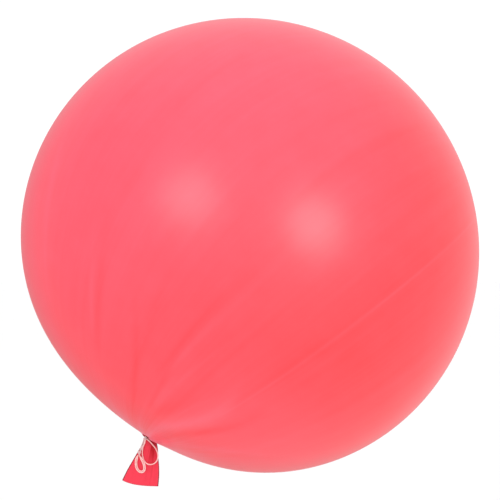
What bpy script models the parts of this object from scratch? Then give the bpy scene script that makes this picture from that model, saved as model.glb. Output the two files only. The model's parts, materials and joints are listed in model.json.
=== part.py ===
# Weather balloon: an inflated latex envelope, tied off with cotton string at its throat,
# with the slack filling neck hanging below the tie and the string's bow lying over it.
# Sizes are in metres and angles in degrees. +Z is up, and the neck's broad front faces -Y.
# The origin is the middle of the sphere that the envelope fills.

import math

import bmesh
import bpy
import numpy as np
from mathutils import Vector

# Inflated envelope: a sphere, flatter on the side where the neck pulls at it
ENVELOPE_RADIUS = 0.457
ENVELOPE_WALL = 0.010
FLAT_TOWARDS = 230.0
FLAT_DEPTH = 0.040
FLAT_SPREAD = 28.0

# Throat axis: its direction in the XZ plane, counted from +X, and its lean towards -Y
THROAT_TOWARDS = 242.6
THROAT_LEAN = 4.0

# Puckered skin around the throat: a low cone with a seat for the string
NUB_HEIGHT = 0.0055
NUB_SPREAD = 2.2
SEAT_DEPTH = 0.0030
SEAT_SPREAD = 1.35

# Distances along the throat axis from the origin
TIE_AT = 0.4274
HINGE_AT = 0.4345
GATHER_INNER_END = 0.4030

# Latex gathered inside the tie, with a rounded end that the neck turns on
GATHER_RADIUS = 0.0050
GATHER_BALL = 0.0046
GATHER_BALL_STEP = 0.0027
GATHER_CHAMFER_WIDTH = 0.0015
GATHER_CHAMFER_LENGTH = 0.0020
GAP = 0.0003

# String and its winding round the gather
STRING_DIAMETER = 0.0024
STRING_RADIUS = STRING_DIAMETER / 2
WINDING_TURNS = 3

# Slack neck: a flattened tube that fans out from the tie, cut off square to its own length
NECK_LEAN = 9.0
NECK_WALL = 0.0014
# Each section: distance from the hinge, half width along its arc, half thickness
NECK_SECTIONS = (
    (0.0052, 0.0038, 0.0038),
    (0.0090, 0.0064, 0.0042),
    (0.0160, 0.0106, 0.0038),
    (0.0300, 0.0175, 0.0032),
    (0.0620, 0.0285, 0.0032),
    (0.0885, 0.0362, 0.0032),
)

# Knots of the string: middle and half sizes
TIE_KNOT_AT = (-0.2032, -0.0376, -0.3767)
TIE_KNOT_HALF = (0.0026, 0.0024, 0.0024)
BOW_KNOT_AT = (-0.2147, -0.0372, -0.4055)
BOW_KNOT_HALF = (0.0034, 0.0028, 0.0042)

# Route of the single large loop, from the tie knot round and back to it: x, y, z
LARGE_LOOP_ROUTE = (
    (-0.2004, -0.0393, -0.3776),
    (-0.1973, -0.0394, -0.3797),
    (-0.1933, -0.0386, -0.3835),
    (-0.1887, -0.0376, -0.3889),
    (-0.1837, -0.0366, -0.3952),
    (-0.1801, -0.0358, -0.4016),
    (-0.1780, -0.0354, -0.4083),
    (-0.1777, -0.0353, -0.4136),
    (-0.1788, -0.0353, -0.4192),
    (-0.1817, -0.0353, -0.4240),
    (-0.1865, -0.0353, -0.4278),
    (-0.1921, -0.0353, -0.4291),
    (-0.1973, -0.0353, -0.4284),
    (-0.2016, -0.0353, -0.4259),
    (-0.2042, -0.0353, -0.4226),
    (-0.2063, -0.0353, -0.4184),
    (-0.2078, -0.0353, -0.4138),
    (-0.2087, -0.0355, -0.4083),
    (-0.2087, -0.0358, -0.4028),
    (-0.2082, -0.0362, -0.3980),
    (-0.2072, -0.0368, -0.3932),
    (-0.2050, -0.0376, -0.3887),
    (-0.2034, -0.0381, -0.3842),
    (-0.2032, -0.0382, -0.3794),
)

# Route along the middle of the small doubled loop, from the bow knot round and back to it
SMALL_LOOP_ROUTE = (
    (-0.2169, -0.0370, -0.4106),
    (-0.2189, -0.0366, -0.4142),
    (-0.2203, -0.0359, -0.4184),
    (-0.2211, -0.0353, -0.4232),
    (-0.2212, -0.0353, -0.4280),
    (-0.2207, -0.0353, -0.4326),
    (-0.2195, -0.0353, -0.4366),
    (-0.2173, -0.0353, -0.4400),
    (-0.2145, -0.0353, -0.4425),
    (-0.2112, -0.0354, -0.4437),
    (-0.2079, -0.0355, -0.4430),
    (-0.2055, -0.0357, -0.4407),
    (-0.2045, -0.0360, -0.4371),
    (-0.2046, -0.0365, -0.4330),
    (-0.2054, -0.0370, -0.4288),
    (-0.2067, -0.0375, -0.4248),
    (-0.2085, -0.0379, -0.4209),
    (-0.2106, -0.0379, -0.4172),
    (-0.2126, -0.0376, -0.4138),
    (-0.2139, -0.0374, -0.4106),
)
STRAND_SPACING = 0.0028
STRAND_TURN = 0.0110

# Route of the short strand from the tie knot to the bow knot
TAIL_ROUTE = (
    (-0.2059, -0.0371, -0.3789),
    (-0.2069, -0.0368, -0.3834),
    (-0.2094, -0.0364, -0.3899),
    (-0.2120, -0.0362, -0.3955),
    (-0.2136, -0.0366, -0.4018),
)

# How finely the curved surfaces are divided. The envelope's rings lie evenly as far as the
# pucker, then close up towards the throat; the angles are counted from the throat axis.
ENVELOPE_SEGMENTS = 48
EVEN_RING_COUNT = 23
PUCKER_FROM = 14.0
PUCKER_RINGS = (9.5, 6.5, 4.6, 3.3, 2.5, 1.9, 1.5, 1.2, 0.95)
INNER_RING_COUNT = 20
INNER_RINGS_FROM = 10.0
INNER_RIM_RING = 3.0
TURNED_STEPS = 24
CORD_STEP = 0.0042
NECK_END_POINTS = 6
NECK_SIDE_STEPS = 7


# Scene helpers

def direction(towards, lean):
    in_plane = math.cos(math.radians(lean))
    angle = math.radians(towards)
    return Vector((in_plane * math.cos(angle), -math.sin(math.radians(lean)), in_plane * math.sin(angle)))


def material(name, color, roughness, metallic=0.0):
    made = bpy.data.materials.new(name)
    made.use_nodes = True
    shader = made.node_tree.nodes["Principled BSDF"]
    shader.inputs["Base Color"].default_value = (*color, 1.0)
    shader.inputs["Roughness"].default_value = roughness
    shader.inputs["Metallic"].default_value = metallic
    return made


def add_object(name, data, collection, finish=None):
    made = bpy.data.objects.new(name, data)
    collection.objects.link(made)
    if finish is not None:
        data.materials.append(finish)
    return made


def mesh_from(bm, name):
    mesh = bpy.data.meshes.new(name)
    bmesh.ops.recalc_face_normals(bm, faces=bm.faces)
    if bm.calc_volume(signed=True) < 0:
        bmesh.ops.reverse_faces(bm, faces=bm.faces)
    bm.to_mesh(mesh)
    bm.free()
    return mesh


def round_shading(mesh, sharp=50.0):
    mesh.shade_smooth()
    mesh.set_sharp_from_angle(angle=math.radians(sharp))


def add_cutter(name, mesh, cutters):
    cutter = add_object(name, mesh, cutters)
    cutter.hide_render = True
    cutter.display_type = "WIRE"
    return cutter


def join(target, cutter):
    modifier = target.modifiers.new(cutter.name, "BOOLEAN")
    modifier.operation = "UNION"
    modifier.solver = "EXACT"
    modifier.object = cutter


def smooth_points(route, step):
    # A Catmull-Rom curve through the route, read at even steps of its length
    points = np.array(route)
    ends = np.vstack([2 * points[0] - points[1], points, 2 * points[-1] - points[-2]])
    fine = []
    for before, start, end, after in zip(ends[:-3], ends[1:-2], ends[2:-1], ends[3:]):
        for t in np.linspace(0, 1, 12, endpoint=False):
            fine.append(
                0.5
                * (
                    2 * start
                    + (end - before) * t
                    + (2 * before - 5 * start + 4 * end - after) * t**2
                    + (3 * start - before - 3 * end + after) * t**3
                )
            )
    fine.append(points[-1])
    fine = np.array(fine)
    along = np.concatenate([[0], np.cumsum(np.linalg.norm(np.diff(fine, axis=0), axis=1))])
    count = max(4, round(along[-1] / step) + 1)
    even = np.linspace(0, along[-1], count)
    return np.column_stack([np.interp(even, along, fine[:, axis]) for axis in range(3)])


def add_tube(name, points, collection, finish):
    curve = bpy.data.curves.new(name, "CURVE")
    curve.dimensions = "3D"
    curve.bevel_depth = STRING_RADIUS
    curve.bevel_resolution = 2
    curve.use_fill_caps = True
    spline = curve.splines.new("POLY")
    spline.points.add(len(points) - 1)
    for target, point in zip(spline.points, points):
        target.co = (*point, 1.0)
    return add_object(name, curve, collection, finish)


# Envelope

def flattened_radius(towards):
    away = math.degrees(towards.angle(direction(FLAT_TOWARDS, THROAT_LEAN)))
    return ENVELOPE_RADIUS - FLAT_DEPTH * math.exp(-0.5 * (away / FLAT_SPREAD) ** 2)


def puckered_radius(towards):
    away = math.degrees(towards.angle(direction(THROAT_TOWARDS, THROAT_LEAN)))
    nub = NUB_HEIGHT * math.exp(-0.5 * (away / NUB_SPREAD) ** 2)
    seat = SEAT_DEPTH / (1 + (away / SEAT_SPREAD) ** 8)
    return flattened_radius(towards) + nub - seat


def build_envelope(parts, latex):
    # One line runs from the crown down the outer skin, in through the throat's bore and back up
    # the inner skin. It is spun about the throat axis, then each point moves out to its own skin.
    # The inner points start at half the length, which tells them apart.
    bore = GATHER_RADIUS + GAP
    throat_skin = flattened_radius(direction(THROAT_TOWARDS, THROAT_LEAN))
    outer_rim = math.degrees(math.asin(bore / throat_skin))
    inner_rim = math.degrees(math.asin(bore / (throat_skin - ENVELOPE_WALL)))
    outer = [*np.linspace(180, PUCKER_FROM, EVEN_RING_COUNT), *PUCKER_RINGS, outer_rim]
    inner = [inner_rim, INNER_RIM_RING, *np.linspace(INNER_RINGS_FROM, 180, INNER_RING_COUNT)]

    bm = bmesh.new()
    line = [bm.verts.new((math.sin(a), 0, math.cos(a))) for a in np.radians(outer)]
    line += [bm.verts.new((math.sin(a) / 2, 0, math.cos(a) / 2)) for a in np.radians(inner)]
    edges = [bm.edges.new(pair) for pair in zip(line, line[1:])]
    bmesh.ops.spin(
        bm,
        geom=line + edges,
        cent=(0, 0, 0),
        axis=(0, 0, 1),
        angle=2 * math.pi,
        steps=ENVELOPE_SEGMENTS,
        use_merge=True,
    )
    bmesh.ops.remove_doubles(bm, verts=bm.verts, dist=1e-5)
    turn = direction(THROAT_TOWARDS, THROAT_LEAN).to_track_quat("Z", "Y")
    for vert in bm.verts:
        is_outer = vert.co.length > 0.75
        towards = (turn @ vert.co).normalized()
        skin = puckered_radius(towards) if is_outer else flattened_radius(towards) - ENVELOPE_WALL
        vert.co = towards * skin
    envelope = add_object("envelope", mesh_from(bm, "envelope"), parts, latex)
    round_shading(envelope.data)


# Pieces turned about the throat axis

def add_turned(name, profile, closed, parts, finish):
    mesh = bpy.data.meshes.new(name)
    count = len(profile)
    edges = [(i, i + 1) for i in range(count - 1)]
    if closed:
        edges.append((count - 1, 0))
    mesh.from_pydata([(radius, 0, height) for radius, height in profile], edges, [])
    made = add_object(name, mesh, parts, finish)
    made.rotation_euler = direction(THROAT_TOWARDS, THROAT_LEAN).to_track_quat("Z", "Y").to_euler()
    screw = made.modifiers.new("turn", "SCREW")
    screw.steps = TURNED_STEPS
    screw.render_steps = TURNED_STEPS
    screw.use_merge_vertices = True
    screw.merge_threshold = 1e-5
    screw.use_smooth_shade = True
    return made


def build_gather(parts, latex):
    # The rounded end is centred on the hinge, so the neck turns on it with an even gap
    profile = [
        (GATHER_BALL * math.sin(a), HINGE_AT + GATHER_BALL * math.cos(a))
        for a in np.radians(np.linspace(0, 90, 7))
    ]
    profile += [
        (GATHER_RADIUS, HINGE_AT - GATHER_BALL_STEP),
        (GATHER_RADIUS, GATHER_INNER_END + GATHER_CHAMFER_LENGTH),
        (GATHER_RADIUS - GATHER_CHAMFER_WIDTH, GATHER_INNER_END),
        (0, GATHER_INNER_END),
    ]
    return add_turned("throat_gather", profile, False, parts, latex)


def build_winding(parts, string):
    # One half-round lobe for each turn of string, laid side by side
    inner = GATHER_RADIUS + GAP
    top = TIE_AT + WINDING_TURNS * STRING_RADIUS
    profile = [(inner, top)]
    for turn in range(WINDING_TURNS):
        middle = top - (2 * turn + 1) * STRING_RADIUS
        for a in np.radians(np.linspace(80, -80, 7)):
            profile.append((inner + STRING_RADIUS * (1 + math.cos(a)), middle + STRING_RADIUS * math.sin(a)))
    profile.append((inner, TIE_AT - WINDING_TURNS * STRING_RADIUS))
    return add_turned("tie_winding", profile, True, parts, string)


# Slack neck

def build_neck(parts, latex):
    hinge = direction(THROAT_TOWARDS, THROAT_LEAN) * HINGE_AT
    rows = []
    bm = bmesh.new()
    for distance, half_width, half_thickness in NECK_SECTIONS:
        # The section is a flat tube with round edges, and its width is wrapped on an arc about the hinge
        straight = half_width - half_thickness
        outline = []
        for side in (1, -1):
            first_turn = -90 if side > 0 else 90
            for a in np.linspace(first_turn, first_turn + 180, NECK_END_POINTS):
                turn = math.radians(a)
                outline.append((side * straight + half_thickness * math.cos(turn), half_thickness * math.sin(turn)))
            for step in range(1, NECK_SIDE_STEPS):
                across = side * straight * (1 - 2 * step / NECK_SIDE_STEPS)
                outline.append((across, side * half_thickness))
        row = []
        for across, depth in outline:
            swing = across / distance
            row.append(bm.verts.new((distance * math.sin(swing), depth, -distance * math.cos(swing))))
        rows.append(row)
    for upper, lower in zip(rows, rows[1:]):
        for i in range(len(upper)):
            j = (i + 1) % len(upper)
            bm.faces.new((upper[i], upper[j], lower[j], lower[i]))
    first = NECK_SECTIONS[0][0]
    crown = bm.verts.new((0, 0, -first))
    for i in range(len(rows[0])):
        bm.faces.new((crown, rows[0][(i + 1) % len(rows[0])], rows[0][i]))
    neck = add_object("neck_sleeve", mesh_from(bm, "neck_sleeve"), parts, latex)
    neck.location = hinge
    neck.rotation_euler = (0, math.radians(NECK_LEAN), 0)
    wall = neck.modifiers.new("wall", "SOLIDIFY")
    wall.thickness = NECK_WALL
    wall.offset = -1
    wall.use_even_offset = True
    round_shading(neck.data)
    return neck


# String

def add_knot(name, middle, half, parts, string):
    bm = bmesh.new()
    bmesh.ops.create_uvsphere(bm, u_segments=16, v_segments=10, radius=1.0)
    bmesh.ops.scale(bm, vec=half, verts=bm.verts)
    knot = add_object(name, mesh_from(bm, name), parts, string)
    knot.location = middle
    round_shading(knot.data)
    return knot


def welded_copy(tube, name):
    bpy.context.view_layer.update()
    solid = bpy.data.meshes.new_from_object(tube.evaluated_get(bpy.context.evaluated_depsgraph_get()))
    bpy.data.objects.remove(tube)
    bm = bmesh.new()
    bm.from_mesh(solid)
    bmesh.ops.remove_doubles(bm, verts=bm.verts, dist=1e-6)
    return mesh_from(bm, name)


def build_bow_knot(parts, cutters, string):
    # The short strand up to the tie knot is joined to this knot
    knot = add_knot("bow_knot", BOW_KNOT_AT, BOW_KNOT_HALF, parts, string)
    tail = add_tube("tail", smooth_points(TAIL_ROUTE, CORD_STEP), parts, string)
    strand = add_cutter("tail_strand", welded_copy(tail, "tail_strand"), cutters)
    join(knot, strand)


def side_strand(route, offset):
    # One of two strands that lie one over the other at the knot, and side by side lower down
    points = smooth_points(route, CORD_STEP)
    ahead = np.gradient(points, axis=0)
    across = np.column_stack([ahead[:, 2], np.zeros(len(points)), -ahead[:, 0]])
    across /= np.linalg.norm(across, axis=1)[:, None]
    steps_in = np.arange(len(points))
    from_end = np.minimum(steps_in, steps_in[::-1]) * CORD_STEP
    turned = np.clip(from_end / STRAND_TURN, 0, 1) * math.pi / 2
    beside = np.sin(turned)[:, None] * across
    in_front = np.cos(turned)[:, None] * np.array([0.0, -1.0, 0.0])
    return points + offset * (beside + in_front)


def build_bow(parts, string):
    add_tube("bow_loop_large", smooth_points(LARGE_LOOP_ROUTE, CORD_STEP), parts, string)
    for name, side in (("bow_loop_small_outer", 1), ("bow_loop_small_inner", -1)):
        add_tube(name, side_strand(SMALL_LOOP_ROUTE, side * STRAND_SPACING / 2), parts, string)


def main():
    for old in list(bpy.data.objects):
        bpy.data.objects.remove(old, do_unlink=True)
    parts = bpy.data.collections.new("weather_balloon")
    cutters = bpy.data.collections.new("cutters")
    for collection in (parts, cutters):
        bpy.context.scene.collection.children.link(collection)

    skin = material("coral_latex", (0.89, 0.13, 0.16), 0.45)
    slack = material("red_slack_latex", (0.74, 0.035, 0.07), 0.5)
    string = material("cotton_string", (0.83, 0.62, 0.58), 0.9)

    build_envelope(parts, skin)
    build_gather(parts, slack)
    build_winding(parts, string)
    build_neck(parts, slack)
    add_knot("tie_knot", TIE_KNOT_AT, TIE_KNOT_HALF, parts, string)
    build_bow_knot(parts, cutters, string)
    build_bow(parts, string)


main()
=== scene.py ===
import json
import math

import bmesh
import bpy
import numpy as np
from mathutils import Matrix, Vector


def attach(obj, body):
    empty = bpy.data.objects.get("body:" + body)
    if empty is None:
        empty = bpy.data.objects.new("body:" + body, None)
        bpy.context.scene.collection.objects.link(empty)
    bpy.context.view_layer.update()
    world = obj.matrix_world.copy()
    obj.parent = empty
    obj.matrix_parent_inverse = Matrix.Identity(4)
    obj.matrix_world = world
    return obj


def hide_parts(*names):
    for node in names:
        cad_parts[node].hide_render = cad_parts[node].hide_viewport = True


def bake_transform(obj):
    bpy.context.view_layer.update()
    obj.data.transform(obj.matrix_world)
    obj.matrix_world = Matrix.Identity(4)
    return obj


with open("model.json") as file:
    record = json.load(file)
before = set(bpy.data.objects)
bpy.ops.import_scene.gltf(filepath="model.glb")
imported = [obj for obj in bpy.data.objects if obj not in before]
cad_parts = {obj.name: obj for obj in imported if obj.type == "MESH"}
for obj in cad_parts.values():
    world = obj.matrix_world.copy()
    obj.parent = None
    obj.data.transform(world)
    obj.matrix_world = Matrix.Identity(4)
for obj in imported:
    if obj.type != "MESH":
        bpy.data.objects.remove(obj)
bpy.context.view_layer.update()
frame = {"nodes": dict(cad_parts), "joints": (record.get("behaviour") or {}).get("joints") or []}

# An inflated weather balloon of coral latex: the skin, the slack neck below its tie,
# and the cotton twine whose winding, knots and bow close the throat.
# Metres everywhere, +Z up, and the front of the balloon faces -Y.

hinge = Vector(frame["joints"][0]["pos_m"])
throatAxis = hinge.normalized()
rightAxis = Vector((-throatAxis.z, 0, throatAxis.x)).normalized()
frontAxis = throatAxis.cross(rightAxis)
tieAboveHinge = 0.0071
tieAt = hinge.length - tieAboveHinge  # middle of the winding, from the balloon's middle


# Small tools

def linearColour(hexCode):
    # sRGB hex to the linear values that Blender's sockets take
    channels = [int(hexCode[i : i + 2], 16) / 255 for i in (1, 3, 5)]
    return (*[c / 12.92 if c <= 0.04045 else ((c + 0.055) / 1.055) ** 2.4 for c in channels], 1.0)


def addNode(tree, kind, settings=None, links=None):
    # One node. Settings are its attributes, or the name of its operation alone;
    # links are sockets, nodes (their first output) or plain values
    node = tree.nodes.new(kind)
    if isinstance(settings, str):
        settings = {"operation": settings}
    for name, value in (settings or {}).items():
        setattr(node, name, value)
    for socket, source in (links or {}).items():
        if isinstance(source, bpy.types.Node):
            source = source.outputs[0]
        if isinstance(source, bpy.types.NodeSocket):
            tree.links.new(source, node.inputs[socket])
        else:
            node.inputs[socket].default_value = source
    return node


# Settings that come back: a share that starts and ends gently, and a mix of two colours
eased = {"interpolation_type": "SMOOTHSTEP"}
softlyEased = {"interpolation_type": "SMOOTHERSTEP"}
ofColours = {"data_type": "RGBA"}


def shaderFor(name, settings):
    material = bpy.data.materials.new(name)
    material.use_nodes = True
    shader = material.node_tree.nodes["Principled BSDF"]
    for socket, value in settings.items():
        shader.inputs[socket].default_value = value
    return material, material.node_tree, shader


def bellCurve(tree, offset, width):
    # 1 in the middle, 0.6 one width away, and soon nothing
    share = addNode(tree, "ShaderNodeMath", "DIVIDE", {0: offset, 1: width})
    square = addNode(tree, "ShaderNodeMath", "MULTIPLY", {0: share, 1: share})
    half = addNode(tree, "ShaderNodeMath", "MULTIPLY", {0: square, 1: -0.5})
    return addNode(tree, "ShaderNodeMath", "EXPONENT", {0: half})


def spoken(key):
    # The label of a tree's input: ringCrowding becomes Ring Crowding
    return "".join(" " + c if c.isupper() else c for c in key).title()


def shapeTree(name, sizes):
    # Geometry Nodes tree with one named input for each size
    kinds = {float: "Float", int: "Int", tuple: "Vector", bpy.types.Material: "Material"}
    tree = bpy.data.node_groups.new(name, "GeometryNodeTree")
    tree.interface.new_socket("Geometry", in_out="INPUT", socket_type="NodeSocketGeometry")
    tree.interface.new_socket("Geometry", in_out="OUTPUT", socket_type="NodeSocketGeometry")
    for label, value in sizes.items():
        tree.interface.new_socket(label, in_out="INPUT", socket_type="NodeSocket" + kinds[type(value)])
    return tree, addNode(tree, "NodeGroupInput").outputs


def closeTree(tree, geometry, material):
    smooth = addNode(tree, "GeometryNodeSetShadeSmooth", links={"Geometry": geometry})
    whole = addNode(tree, "GeometryNodeRealizeInstances", links={"Geometry": smooth})
    painted = addNode(tree, "GeometryNodeSetMaterial", links={"Geometry": whole, "Material": material})
    addNode(tree, "NodeGroupOutput", links={"Geometry": painted})


def grow(name, tree, sizes, base):
    # Runs the tree on the base and keeps the result as a plain mesh
    source = bpy.data.objects.new(name + "Source", base)
    bpy.context.scene.collection.objects.link(source)
    modifier = source.modifiers.new("shape", "NODES")
    modifier.node_group = tree
    for socket in tree.interface.items_tree:
        if socket.in_out == "INPUT" and socket.name in sizes:
            modifier[socket.identifier] = sizes[socket.name]
    graph = bpy.context.evaluated_depsgraph_get()
    mesh = bpy.data.meshes.new_from_object(
        source.evaluated_get(graph), preserve_all_data_layers=True, depsgraph=graph
    )
    bpy.data.objects.remove(source)
    mesh.name = name
    made = bpy.data.objects.new(name, mesh)
    bpy.context.scene.collection.objects.link(made)
    return made


def smoothRows(table, perSpan):
    # A smooth curve through the rows of a table, column by column
    rows = np.array(table)
    ends = np.vstack([2 * rows[0] - rows[1], rows, 2 * rows[-1] - rows[-2]])
    fine = []
    for before, start, end, after in zip(ends[:-3], ends[1:-2], ends[2:-1], ends[3:]):
        for t in np.linspace(0, 1, perSpan, endpoint=False):
            bend = (2 * before - 5 * start + 4 * end - after) * t**2
            turn = (3 * start - before - 3 * end + after) * t**3
            fine.append(0.5 * (2 * start + (end - before) * t + bend + turn))
    return np.array([*fine, rows[-1]])


def evenPath(route, step, perSpan=16):
    # The smooth curve through a route, read at even steps of its length
    fine = smoothRows(route, perSpan)
    along = np.concatenate([[0], np.cumsum(np.linalg.norm(np.diff(fine, axis=0), axis=1))])
    even = np.linspace(0, along[-1], max(4, round(along[-1] / step) + 1))
    return np.column_stack([np.interp(even, along, fine[:, axis]) for axis in range(3)])


def curveThrough(name, runs):
    # One open polyline for each run of points
    curve = bpy.data.curves.new(name, "CURVE")
    curve.dimensions = "3D"
    for points in runs:
        spline = curve.splines.new("POLY")
        spline.points.add(len(points) - 1)
        for target, point in zip(spline.points, points):
            target.co = (*point, 1.0)
    return curve


# Camera

cameraPlan = {"place": (0.0052, -3.2, -0.0028), "lens": 114.66}


def addCamera(plan):
    lens = bpy.data.cameras.new("camera")
    lens.lens = plan["lens"]
    camera = bpy.data.objects.new("camera", lens)
    camera.location = plan["place"]
    camera.rotation_euler = (math.radians(90), 0, 0)  # level, looking along +Y
    bpy.context.scene.collection.objects.link(camera)
    bpy.context.scene.camera = camera


addCamera(cameraPlan)
print("camera in place")


# Cotton twine: three plies laid round each other

twine = {
    "diameter": 0.0024,
    "plies": 3,
    "plyShare": 0.245,  # radius of a ply and its distance from the middle, in diameters of the twine
    "offsetShare": 0.272,
    "plySides": 9,
    "turnLength": 0.0085,  # one full turn of a ply
    "pathStep": 0.0008,
    "strandSpacing": 0.0028,  # between the two strands of the small loop
    "strandStep": 0.0042,
    "strandTurn": 0.0110,  # how soon they turn from one over the other to side by side
    "cleanCotton": ("#FFE6E2", "#FFC6C0"),  # pale, and between the fibres
    # Painted greyer for the shade at the knots and the tail
    "shadedCotton": ("#F6DCDA", "#BFA4A2"),
    # Painted darker and redder for the shade in the crease at the winding
    "creaseShadedCotton": ("#E2807A", "#9C2C30"),
    "fibreWidth": 0.00035,
    "patchWidth": 0.00625,
    "fibreShare": 0.55,
    "paleFrom": 0.5,
    "paleTo": 1.05,
    "fibreBump": 0.6,
}

largeLoopRoute = (
    (-0.2004, -0.0393, -0.3776),
    (-0.1973, -0.0394, -0.3797),
    (-0.1933, -0.0386, -0.3835),
    (-0.1887, -0.0376, -0.3889),
    (-0.1837, -0.0366, -0.3952),
    (-0.1801, -0.0358, -0.4016),
    (-0.1780, -0.0354, -0.4083),
    (-0.1777, -0.0353, -0.4136),
    (-0.1788, -0.0353, -0.4192),
    (-0.1817, -0.0353, -0.4240),
    (-0.1865, -0.0353, -0.4278),
    (-0.1921, -0.0353, -0.4291),
    (-0.1973, -0.0353, -0.4284),
    (-0.2016, -0.0353, -0.4259),
    (-0.2042, -0.0353, -0.4226),
    (-0.2063, -0.0353, -0.4184),
    (-0.2078, -0.0353, -0.4138),
    (-0.2087, -0.0355, -0.4083),
    (-0.2087, -0.0358, -0.4028),
    (-0.2082, -0.0362, -0.3980),
    (-0.2072, -0.0368, -0.3932),
    (-0.2050, -0.0376, -0.3887),
    (-0.2034, -0.0381, -0.3842),
    (-0.2032, -0.0382, -0.3794),
)

smallLoopRoute = (
    (-0.2169, -0.0370, -0.4106),
    (-0.2189, -0.0366, -0.4142),
    (-0.2203, -0.0359, -0.4184),
    (-0.2211, -0.0353, -0.4232),
    (-0.2212, -0.0353, -0.4280),
    (-0.2207, -0.0353, -0.4326),
    (-0.2195, -0.0353, -0.4366),
    (-0.2173, -0.0353, -0.4400),
    (-0.2145, -0.0353, -0.4425),
    (-0.2112, -0.0354, -0.4437),
    (-0.2079, -0.0355, -0.4430),
    (-0.2055, -0.0357, -0.4407),
    (-0.2045, -0.0360, -0.4371),
    (-0.2046, -0.0365, -0.4330),
    (-0.2054, -0.0370, -0.4288),
    (-0.2067, -0.0375, -0.4248),
    (-0.2085, -0.0379, -0.4209),
    (-0.2106, -0.0379, -0.4172),
    (-0.2126, -0.0376, -0.4138),
    (-0.2139, -0.0374, -0.4106),
)

tailRoute = (
    (-0.2049, -0.0373, -0.3775),
    (-0.2059, -0.0371, -0.3789),
    (-0.2069, -0.0368, -0.3834),
    (-0.2094, -0.0364, -0.3899),
    (-0.2120, -0.0362, -0.3955),
    (-0.2136, -0.0366, -0.4018),
)

# The bow's other strand, between the tail and the large loop
innerTailRoute = (
    (-0.2036, -0.0370, -0.3779),
    (-0.2044, -0.0366, -0.3792),
    (-0.2052, -0.0362, -0.3838),
    (-0.2074, -0.0359, -0.3900),
    (-0.2099, -0.0358, -0.3956),
    (-0.2124, -0.0362, -0.4020),
    (-0.2142, -0.0366, -0.4060),
    (-0.2150, -0.0364, -0.4088),
)


def cottonTwineMaterial(name, pale, shade):
    # Undyed spun cotton: dull, off-white, a little darker between the fibres, with a soft fuzz
    material, tree, shader = shaderFor(
        name, {"Roughness": 0.88, "IOR": 1.47, "Sheen Weight": 0.35, "Sheen Roughness": 0.6}
    )
    place = addNode(tree, "ShaderNodeTexCoord").outputs["Object"]
    fibres = addNode(
        tree,
        "ShaderNodeTexNoise",
        links={"Vector": place, "Scale": 1 / twine["fibreWidth"], "Detail": 3.0, "Roughness": 0.6},
    )
    patches = addNode(
        tree,
        "ShaderNodeTexNoise",
        links={"Vector": place, "Scale": 1 / twine["patchWidth"], "Detail": 1.0},
    )
    both = addNode(
        tree, "ShaderNodeMath", "MULTIPLY_ADD", {0: fibres, 1: twine["fibreShare"], 2: patches}
    )
    share = addNode(
        tree,
        "ShaderNodeMapRange",
        links={"Value": both, "From Min": twine["paleFrom"], "From Max": twine["paleTo"]},
    )
    colour = addNode(
        tree, "ShaderNodeMix", ofColours, {0: share, 6: linearColour(shade), 7: linearColour(pale)}
    )
    tree.links.new(colour.outputs[2], shader.inputs["Base Color"])
    bump = addNode(
        tree,
        "ShaderNodeBump",
        links={"Height": fibres, "Strength": twine["fibreBump"], "Distance": twine["fibreWidth"] / 3},
    )
    tree.links.new(bump.outputs[0], shader.inputs["Normal"])
    return material


def twineTree(sizes):
    # Each ply is a copy of the path, moved out from it and turned round it along its length
    tree, given = shapeTree("twinePlies", sizes)
    path = addNode(
        tree,
        "GeometryNodeResampleCurve",
        {"mode": "LENGTH"},
        {"Curve": given["Geometry"], "Length": given["Path Step"]},
    )
    plies = addNode(
        tree,
        "GeometryNodeDuplicateElements",
        {"domain": "SPLINE"},
        {"Geometry": path, "Amount": given["Plies"]},
    )
    along = addNode(tree, "GeometryNodeSplineParameter").outputs["Length"]
    turns = addNode(tree, "ShaderNodeMath", "DIVIDE", {0: along, 1: given["Turn Length"]})
    share = addNode(
        tree, "ShaderNodeMath", "DIVIDE", {0: plies.outputs["Duplicate Index"], 1: given["Plies"]}
    )
    phase = addNode(tree, "ShaderNodeMath", "ADD", {0: turns, 1: share})
    angle = addNode(tree, "ShaderNodeMath", "MULTIPLY", {0: phase, 1: 2 * math.pi})
    cosine = addNode(tree, "ShaderNodeMath", "COSINE", {0: angle})
    sine = addNode(tree, "ShaderNodeMath", "SINE", {0: angle})
    normal = addNode(tree, "GeometryNodeInputNormal").outputs["Normal"]
    tangent = addNode(tree, "GeometryNodeInputTangent").outputs["Tangent"]
    beside = addNode(tree, "ShaderNodeVectorMath", "CROSS_PRODUCT", {0: tangent, 1: normal})
    outward = addNode(tree, "ShaderNodeVectorMath", "SCALE", {0: normal, "Scale": cosine})
    sideways = addNode(tree, "ShaderNodeVectorMath", "SCALE", {0: beside, "Scale": sine})
    ring = addNode(tree, "ShaderNodeVectorMath", "ADD", {0: outward, 1: sideways})
    offset = addNode(tree, "ShaderNodeVectorMath", "SCALE", {0: ring, "Scale": given["Ply Offset"]})
    laid = addNode(
        tree, "GeometryNodeSetPosition", links={"Geometry": plies.outputs["Geometry"], "Offset": offset}
    )
    section = addNode(
        tree,
        "GeometryNodeCurvePrimitiveCircle",
        links={"Resolution": given["Sides"], "Radius": given["Ply Radius"]},
    )
    solid = addNode(
        tree,
        "GeometryNodeCurveToMesh",
        links={"Curve": laid, "Profile Curve": section, "Fill Caps": True},
    )
    closeTree(tree, solid, given["Finish"])
    return tree


cotton = cottonTwineMaterial("cottonTwine", *twine["cleanCotton"])
# The same twine painted greyer, for the shade it lies in at the knots and the tail
twineInShade = cottonTwineMaterial("shadedTwine", *twine["shadedCotton"])
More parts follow.
